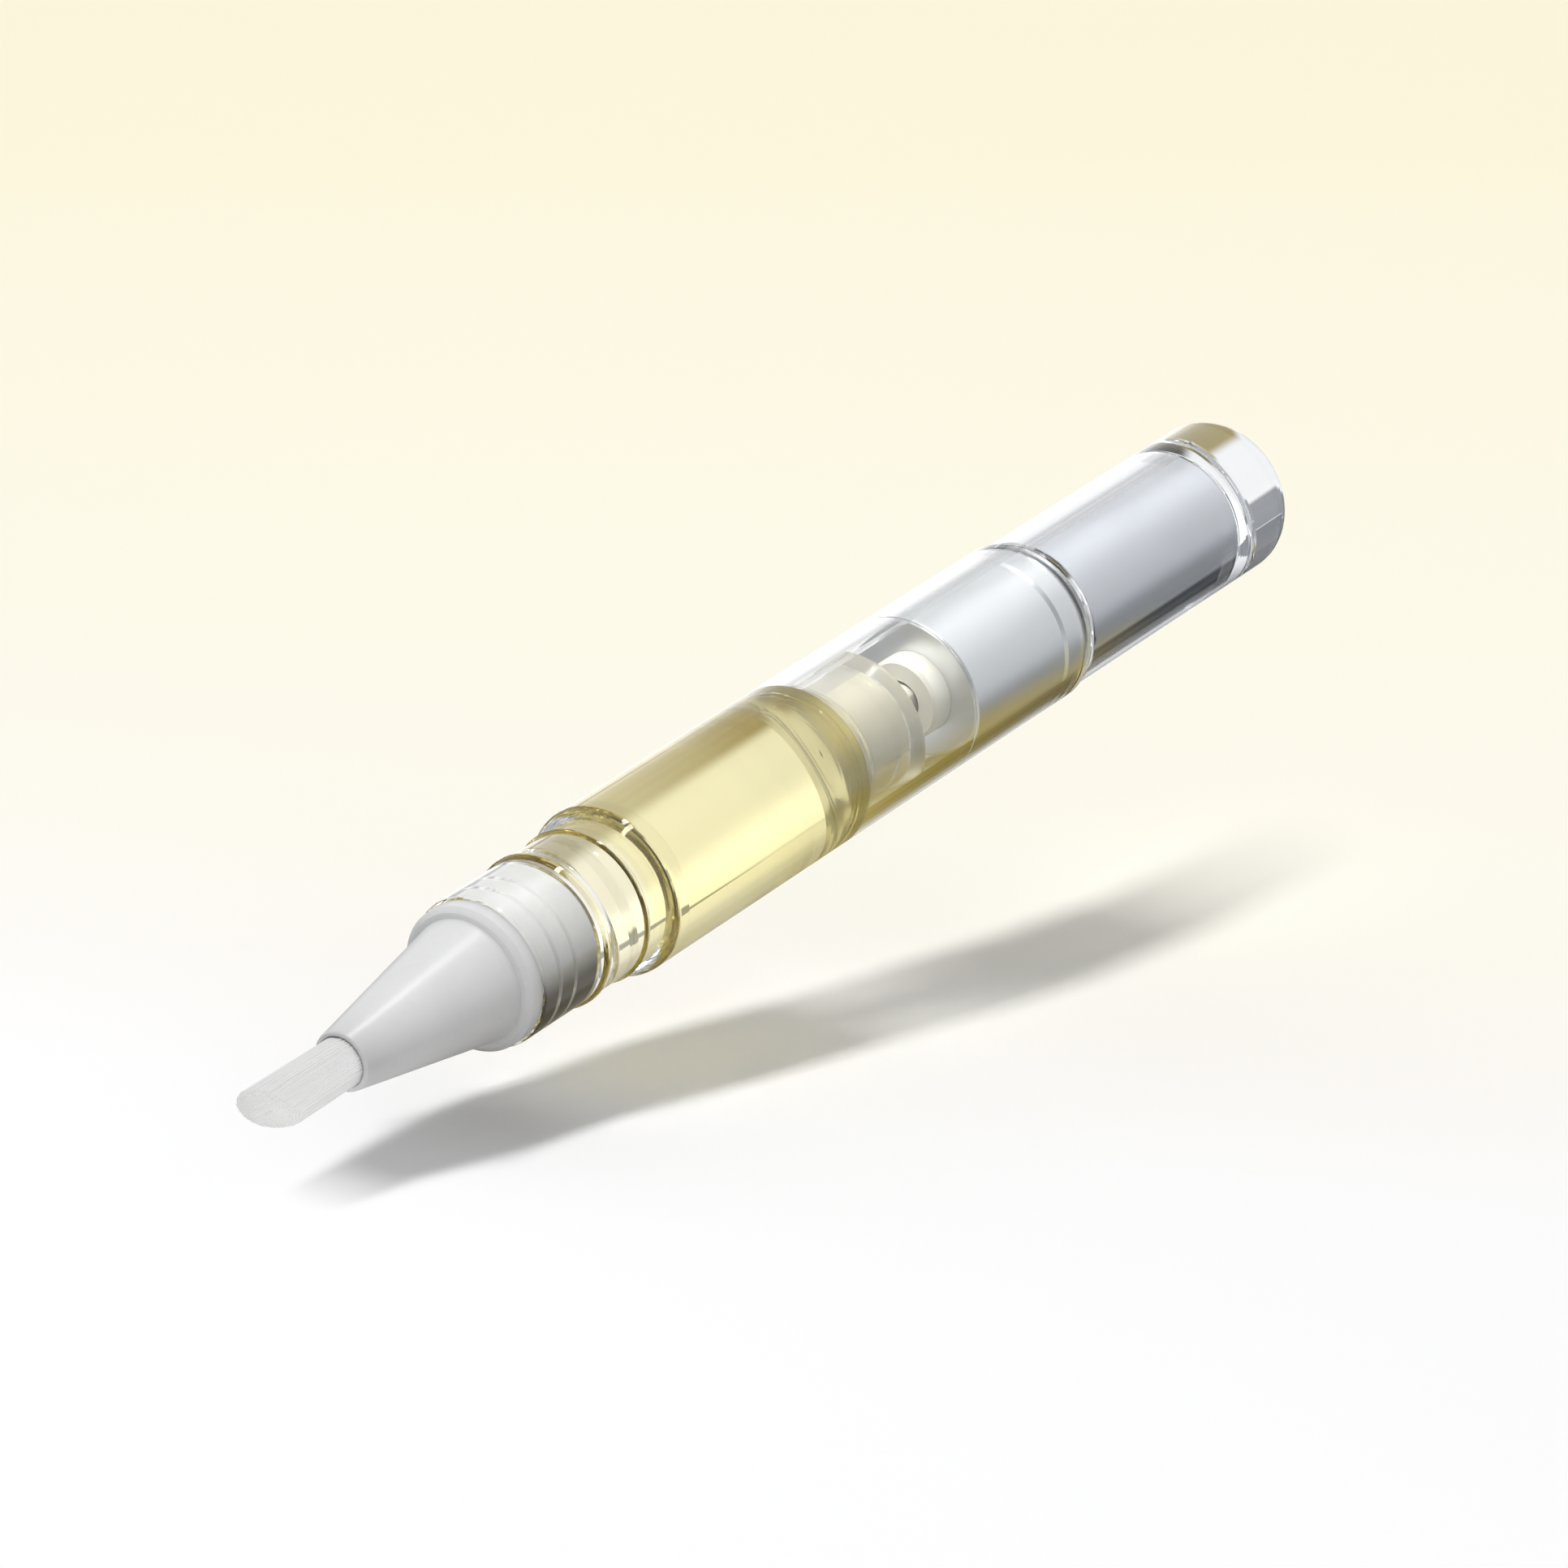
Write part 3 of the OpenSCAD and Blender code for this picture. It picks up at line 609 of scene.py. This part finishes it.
bpy.ops.object.select_all(action="DESELECT")
bpy.ops.mesh.primitive_circle_add(vertices=FILAMENT_SIDES, radius=FILAMENT_R * MM,
                                  fill_type="NGON", location=(0, 0, 0))
filament = named("filament")
bpy.ops.object.mode_set(mode="EDIT")
for ring in range(FILAMENT_RINGS):
    bpy.ops.mesh.extrude_region_move(TRANSFORM_OT_translate={"value": (0, 0, 1 / FILAMENT_RINGS)})
bpy.ops.transform.resize(value=(FILAMENT_TAPER, FILAMENT_TAPER, 1))
bpy.ops.mesh.select_all(action="SELECT")
bpy.ops.mesh.normals_make_consistent(inside=False)
bpy.ops.object.mode_set(mode="OBJECT")
print("filament", len(filament.data.polygons), "faces")

# %% [markdown]
# The grid leaves out its middle, where the feed tube is. The tips fall away from the longest
# side in a rounded slant.

# %% Places and tips of the filaments
BRUSH_R = 1.75
FEED_R = 0.52
FILAMENT_PITCH = 0.104
TIP_LEN = 4.0
TIP_OFFSET = 1.1
TIP_FALL = 0.96

brush_start, brush_end = place_of("brush_bristles")
brush_out = brush_end - nozzle_end


def filament_places():
    """Places of the filaments on a hexagonal grid, clear of the feed tube."""
    row = FILAMENT_PITCH * math.sqrt(3) / 2
    rows = math.ceil(BRUSH_R / row)
    columns = math.ceil(BRUSH_R / FILAMENT_PITCH) + 1
    for j in range(-rows, rows + 1):
        for i in range(-columns, columns + 1):
            x, y = (i + j % 2 / 2) * FILAMENT_PITCH, j * row
            if FEED_R + FILAMENT_R < math.hypot(x, y) < BRUSH_R - FILAMENT_R:
                yield x, y


def filament_tip(x, y):
    """Where a filament ends: the tip falls away from its longest side."""
    away = min(1.0, math.hypot(x - TIP_OFFSET, y) / (BRUSH_R + TIP_OFFSET))
    return brush_end - TIP_LEN * (1 - math.sqrt(1 - TIP_FALL * away * away))


print(len(list(filament_places())), "filaments stand out", round(brush_out, 2), "mm")

# %% [markdown]
# From the nozzle's mouth on, each filament leans out a little and wavers, as bristles do.
# Beyond the feed tube the bundle closes in and fills its middle.

# %% Growing a filament
ROOT_DEPTH = 1.0
TIP_TURN = math.radians(41)
SPREAD = 0.06
CLOSING = 2.0

feed_end = place_of("feed_tube")[1]
root = brush_start + ROOT_DEPTH


def smooth(fraction):
    """Eases a share of the way, which is kept between 0 and 1."""
    share = min(1.0, max(0.0, fraction))
    return share * share * (3 - 2 * share)


def closed_in(radius):
    """The radius that a filament takes beyond the feed tube, where the bundle fills its core."""
    hollow = (FEED_R + FILAMENT_R) ** 2
    return BRUSH_R * math.sqrt((radius * radius - hollow) / (BRUSH_R * BRUSH_R - hollow))


def grow(mesh, x, y, tip, waver):
    """Sets the vertices of a copied filament from its root to its tip."""
    pinch = closed_in(math.hypot(x, y)) / math.hypot(x, y)
    for vertex in mesh.vertices:
        place = root + (tip - root) * vertex.co.z
        out = max(0.0, place - nozzle_end) / brush_out
        closed = smooth((place - feed_end) / CLOSING)
        spread = (1 + SPREAD * out) * (1 + (pinch - 1) * closed)
        u = (x + vertex.co.x / MM) * spread + waver[0] * out
        v = (y + vertex.co.y / MM) * spread + waver[1] * out
        up = u * math.cos(TIP_TURN) - v * math.sin(TIP_TURN)
        side = u * math.sin(TIP_TURN) + v * math.cos(TIP_TURN)
        vertex.co = (at(min(place, brush_end)), side * MM, AXIS_Z + up * MM)


print("filaments close in after", round(feed_end, 2), "mm")

# %% [markdown]
# The copies are joined into one piece, because they never move against each other. The brush
# casts no shadow: the shadow in the photograph has faded out before it gets there.

# %% Bundle of filaments
SEED = 7
TIP_SHAKE = 0.12
WAVER = 0.03
FILAMENT_SMOOTH = 60

shake = random.Random(SEED)
copies = []
for x, y in filament_places():
    tip = filament_tip(x, y) - TIP_SHAKE * shake.random()
    waver = [WAVER * shake.uniform(-1, 1) for axis in (0, 1)]
    mesh = filament.data.copy()
    grow(mesh, x, y, tip, waver)
    copy = bpy.data.objects.new("filament_copy", mesh)
    bpy.context.scene.collection.objects.link(copy)
    copies.append(copy)

bpy.data.objects.remove(filament)
bpy.ops.object.select_all(action="DESELECT")
for copy in copies:
    copy.select_set(True)
bpy.context.view_layer.objects.active = copies[0]
bpy.ops.object.join()
bristles = named("bristles")
settle(bristles, FILAMENT_SMOOTH)
dress(bristles, nylon_finish, "barrel", "filament", "brush_bristles")
bristles.visible_shadow = False
print(len(copies), "filaments,", len(bristles.data.polygons), "faces")

# %% [markdown]
# ## Screw rod
# The rod is a coarse screw with two flats, by which the drive sleeve turns it. It is drawn
# ring by ring with extrude, and ends in a waist and a head that turns in the piston.

# %% Screw rod
ROD_R = 1.5
LEAD = 2.0
ROD_SIDES = 40
RINGS_PER_TURN = 12
WAIST_R = 1.1
WAIST_LEN = 1.2
HEAD_R = 1.9
HEAD_W = 1.0

rod_start, rod_end = place_of("screw_rod")
thread_end = rod_end - HEAD_W - WAIST_LEN
rings = round((thread_end - rod_start) / LEAD * RINGS_PER_TURN)
ring_step = (thread_end - rod_start) / rings
bpy.ops.object.select_all(action="DESELECT")
bpy.ops.mesh.primitive_circle_add(vertices=ROD_SIDES, radius=ROD_R * MM, fill_type="NGON",
                                  location=(at(rod_start), 0, AXIS_Z),
                                  rotation=(0, math.pi / 2, 0))
rod = named("threaded_rod")
bpy.ops.object.mode_set(mode="EDIT")


def next_ring(length, scale=1.0):
    """Extrudes the open end along the pen and scales it about the axis."""
    bpy.ops.mesh.extrude_region_move(TRANSFORM_OT_translate={"value": (-length * MM, 0, 0)})
    if scale != 1.0:
        bpy.ops.transform.resize(value=(1, scale, scale))


for ring in range(rings):
    next_ring(ring_step)
next_ring(0.0, WAIST_R / ROD_R)
next_ring(WAIST_LEN)
next_ring(0.0, HEAD_R / WAIST_R)
next_ring(HEAD_W / 2)
next_ring(HEAD_W / 2, WAIST_R / HEAD_R)
bpy.ops.mesh.select_all(action="SELECT")
bpy.ops.mesh.normals_make_consistent(inside=False)
bpy.ops.object.mode_set(mode="OBJECT")
bpy.ops.object.transform_apply(location=True, rotation=True, scale=True)
print("rod of", rings, "rings")

# %% [markdown]
# Each vertex of the plain rod is then set on the thread. How deep it goes follows from its
# angle and its place together, which makes a helix, and the flats cut off what stands out.

# %% Thread and flats
FLAT_HALF = 1.15
THREAD_DEPTH = 0.3
ON_THREAD = 1e-6
ROD_SMOOTH = 50

thread_tip = at(thread_end) - MERGE_GAP
for vertex in rod.data.vertices:
    y, z = vertex.co.y, vertex.co.z - AXIS_Z
    if vertex.co.x > thread_tip and abs(math.hypot(y, z) - ROD_R * MM) < ON_THREAD:
        place = (PEN_END - vertex.co.x) / MM
        turns = place / LEAD + math.atan2(z, y) / math.tau
        depth = THREAD_DEPTH * (1 - math.cos(math.tau * (turns % 1))) / 2
        y, z = y * (1 - depth / ROD_R), z * (1 - depth / ROD_R)
        y = max(-FLAT_HALF * MM, min(FLAT_HALF * MM, y))
        vertex.co.y, vertex.co.z = y, z + AXIS_Z
settle(rod, ROD_SMOOTH)
dress(rod, white_finish, "rod", "white_plastic", "screw_rod")
print("rod", len(rod.data.polygons), "faces")

# %% [markdown]
# ## Floor
# In the photograph the brush is close to the paper and the knob stands higher above it, as the
# shadow shows. The pen lies level here, so the paper slopes instead: it falls towards the knob
# and is flat beyond both ends. It is one grid, whose rows are set on a smooth step.

# %% Floor
FLOOR_SIDE = 6.0
FLOOR_CUTS = 400
FLOOR_HIGH = -0.2
FLOOR_LOW = -25.0
RAMP_HALF = 75.0

bpy.ops.object.select_all(action="DESELECT")
bpy.ops.mesh.primitive_grid_add(x_subdivisions=FLOOR_CUTS, y_subdivisions=1, size=FLOOR_SIDE)
floor = named("paper_floor")
for vertex in floor.data.vertices:
    fallen = smooth((vertex.co.x / MM + RAMP_HALF) / (2 * RAMP_HALF))
    vertex.co.z = (FLOOR_HIGH + (FLOOR_LOW - FLOOR_HIGH) * fallen) * MM
bpy.ops.object.shade_smooth()
print("floor falls from", FLOOR_HIGH, "to", FLOOR_LOW, "mm")

# %% [markdown]
# ## Paper
# The paper turns from white in front of the brush to cream behind the knob, along the line
# that the camera looks along. Beyond a quarter of a metre the lamp's light fades, so there the
# paper shows a plain pale colour of its own, and the horizon stays pale from every side.

# %% Paper
CREAM_START, CREAM_END = -0.022, 0.19
ALONG_X, ALONG_Y = 0.825, 0.565
FADE_START, FADE_END = 0.25, 0.7
PALE = (0.97, 0.965, 0.95)
CREAM = [
    (0.0, (0.985, 0.985, 0.985)), (0.12, (0.985, 0.96, 0.92)), (0.245, (0.985, 0.96, 0.875)),
    (0.54, (0.985, 0.955, 0.82)), (0.9, (0.985, 0.94, 0.757)), (1.0, (0.985, 0.935, 0.72))]

paper = Finish("paper")
paper_x, paper_y = paper.axis("X"), paper.axis("Y")
behind = paper_x * ALONG_X + paper_y * ALONG_Y
cream = paper.ramp((behind - CREAM_START) / (CREAM_END - CREAM_START), CREAM)
near_paper = paper.principled(Base_Color=cream, Roughness=0.9, Specular_IOR_Level=0.0)
far_paper = paper.node("Emission", None, {"Color": PALE, "Strength": 1.0})
fade = (paper_x * paper_x + paper_y * paper_y).step(FADE_START ** 2, FADE_END ** 2)
print("cream over", round((CREAM_END - CREAM_START) / MM), "mm")

# %% [markdown]
# ## Cards
# Clear plastic and silver have hardly a colour of their own: they show what surrounds them. A
# photographer sets white, grey and black cards around such a product. Here the cards are a
# second look of the paper that the camera never sees. The first two have colours that run
# along the pen, at places in millimetres: a strip right under it, dark at the nozzle's plug
# and at the knob, and a card in front, from white at the brush over yellow to grey. The strip
# is a painted shadow: the pen's own shadow on the paper, tinted olive and yellow under the
# barrel by light through the oil, as mirrors and clear pieces see it.

# %% Strip under the pen and card in front
CARD_START, CARD_LEN = -60.0, 150.0
# The strip's colours along the pen: a painted shadow of the pen on the paper.
SHADOW_STRIP = [
    (-60, (0.9, 0.9, 0.9)), (-46, (0.6, 0.6, 0.6)), (-32, (0.08, 0.07, 0.05)),
    (-18, (0.3, 0.28, 0.22)), (5, (0.594, 0.56, 0.47)), (24, (0.4, 0.32, 0.1)),
    (40, (0.24, 0.19, 0.05)), (60, (0.16, 0.13, 0.06)), (75, (0.025, 0.028, 0.03))]
FRONT = [
    (-60, (1.0, 1.0, 1.0)), (-46, (0.95, 0.95, 0.95)), (-38, (0.4, 0.4, 0.4)),
    (-28, (0.35, 0.34, 0.32)), (-10, (0.8, 0.79, 0.72)), (6, (0.8, 0.79, 0.7)),
    (20, (0.7, 0.62, 0.24)), (42, (0.48, 0.37, 0.07)), (62, (0.4, 0.33, 0.16)),
    (80, (0.26, 0.27, 0.29))]
FRONT_EDGE = (-0.12, -0.03)
FRONT_GREY = (0.62, 0.63, 0.65)


def card(colors):
    """A colour that runs along the pen through stops (x in millimetres, colour)."""
    along = (paper_x / MM - CARD_START) / CARD_LEN
    return paper.ramp(along, [((x - CARD_START) / CARD_LEN, color) for x, color in colors])


# Painted shadow: the pen's shadow under it, seen only by mirrors and clear pieces.
shadow_strip = card(SHADOW_STRIP)
front = paper.blend(paper_y.step(*FRONT_EDGE), FRONT_GREY, card(FRONT))
print("cards from", CARD_START, "to", CARD_START + CARD_LEN, "mm")

# %% [markdown]
# The card behind the pen is white, and brightest between seven and thirty-five centimetres.
# Three parts of it are grey. One is beside the brush and one runs out past the knob, where
# white would wash out the nozzle and the knob's dark edge. The third is where the rays land
# that the knob's flat end sends back, because the solid end of the real knob looks dark on
# that side.

# %% Card behind
WHITE, BRIGHT = (1.0, 1.0, 1.0), (1.4, 1.4, 1.4)
BRIGHT_START, BRIGHT_END = (0.03, 0.07), (0.35, 0.8)
CARD_GREY = (0.42, 0.44, 0.47)
BRUSH_EDGE = (-0.08, -0.04)
KNOB_SLOPE, KNOB_SHIFT = 0.45, 0.02
KNOB_EDGE = (-0.006, 0.0)
RETURN_GREY = (0.3, 0.31, 0.33)
RETURN_SLOPE = 1.1
RETURN_EDGE = (-0.045, -0.036)

back = paper.blend(paper_y.step(*BRIGHT_START), WHITE, BRIGHT)
back = paper.blend(paper_y.step(*BRIGHT_END), back, WHITE)
back = paper.blend(paper_x.step(*BRUSH_EDGE), CARD_GREY, back)
past_knob = paper_y - paper_x * KNOB_SLOPE + KNOB_SHIFT
back = paper.blend(past_knob.step(*KNOB_EDGE), CARD_GREY, back)
returned = paper_x - paper_y * RETURN_SLOPE
back = paper.blend(returned.step(*RETURN_EDGE), RETURN_GREY, back)
print("white behind, grey beside the brush and past the knob")

# %% [markdown]
# The strip grows wider towards the knob, so the edges between the cards are found on y divided
# by a width that grows along x.

# %% Cards side by side
STRIP_FLARE, STRIP_MIDDLE = 4.0, 0.84
STRIP_FRONT, STRIP_BACK = (-0.0135, -0.0085), (0.0094, 0.0144)

across = paper_y / (paper_x * STRIP_FLARE + STRIP_MIDDLE)
cards = paper.blend(across.step(*STRIP_FRONT), front, shadow_strip)
cards = paper.blend(across.step(*STRIP_BACK), cards, back)
card_look = paper.node("Emission", None, {"Color": cards, "Strength": 1.0})
print("strip flares by", STRIP_FLARE)

# %% [markdown]
# A Mix Shader chooses between the looks: by the distance for the paper, and by Is Camera Ray
# between the paper and the cards.

# %% Paper for the camera, cards for the pen
paper_look = paper.mixed(fade, near_paper, far_paper)
paper_finish = paper.show(paper.mixed(paper.for_camera(), card_look, paper_look))
floor.data.materials.append(paper_finish)
print("floor wears", paper_finish.name)

# %% [markdown]
# ## Lamp
# The shadow in the photograph has a soft edge all round. A lamp that is long in X and narrow
# in Y, straight above the pen, gives such a shadow. A lamp on one side would push the shadow
# out from under the pen.

# %% Lamp
LAMP_PLACE = (0.0, 0.1, 1.2)
LAMP_SIZE = (1.2, 0.14)
LAMP_WATTS = 9.2

lamp_data = bpy.data.lights.new("overhead", "AREA")
lamp_data.shape = "RECTANGLE"
lamp_data.size, lamp_data.size_y = LAMP_SIZE
lamp_data.energy = LAMP_WATTS
lamp = bpy.data.objects.new("overhead", lamp_data)
lamp.location = LAMP_PLACE
lamp.rotation_euler = (-Vector(LAMP_PLACE)).to_track_quat("-Z", "Y").to_euler()
bpy.context.scene.collection.objects.link(lamp)
print("lamp of", LAMP_WATTS, "W")

# %% [markdown]
# ## Room
# The room has three looks. The camera sees a pale wall. Soft surfaces get even light, a little
# more of it from above. Mirrors and clear pieces see a light tent whose walls run along the
# pen, so it depends on the angle about X alone: 0 is the horizon behind the pen, 90 is
# straight up and 180 is the horizon in front. The tent's end wall beyond the brush is grey.

# %% Room
TENT = [
    (0, 1.1), (8, 1.0), (16, 0.74), (30, 0.62), (50, 0.62), (66, 0.66), (80, 0.8), (92, 0.98),
    (107, 1.0), (123, 0.92), (139, 0.82), (155, 0.75), (170, 0.68), (180, 0.63)]
TENT_BLUE = 1.01
END_WALL = (0.2, 0.21, 0.23)
END_EDGE = (-0.7, -0.2)
SOFT_LOW, SOFT_HIGH = (0.36, 0.36, 0.365), (0.49, 0.49, 0.49)
SOFT_EDGE = (0.05, 0.7)

room = Finish("room", bpy.data.worlds.new("room"))
bpy.context.scene.world = room.material
tent_x, tent_y, tent_z = (room.axis(name) for name in "XYZ")
soft_light = room.blend(tent_z.step(*SOFT_EDGE), SOFT_LOW, SOFT_HIGH)
angle = tent_z.math("ARCTAN2", tent_z, tent_y) / math.pi
tent = room.ramp(angle, [(math.radians(degrees) / math.pi, (level, level, level * TENT_BLUE))
                         for degrees, level in TENT])
tent = room.blend(tent_x.step(*END_EDGE), END_WALL, tent)
room_light = room.blend(room.through_glass(), soft_light, tent)
room.show(room.node("Background", None, {
    "Color": room.blend(room.for_camera(), room_light, PALE), "Strength": 1.0}))
print("tent of", len(TENT), "stops")

# %% [markdown]
# ## Colour and light paths
# The Standard view transform shows a colour about as it is written. Light crosses many faces
# in this pen, such as knob, core, barrel, oil and seal, and each face is a bounce. With too
# few of them, thick clear plastic turns black, so their number is raised.

# %% View transform and light paths
BOUNCES = 40
MIRROR_BOUNCES = 20

bpy.context.scene.view_settings.view_transform = "Standard"
light_paths = bpy.context.scene.cycles
light_paths.max_bounces = light_paths.transmission_bounces = BOUNCES
light_paths.glossy_bounces = MIRROR_BOUNCES
print("bounces:", BOUNCES)
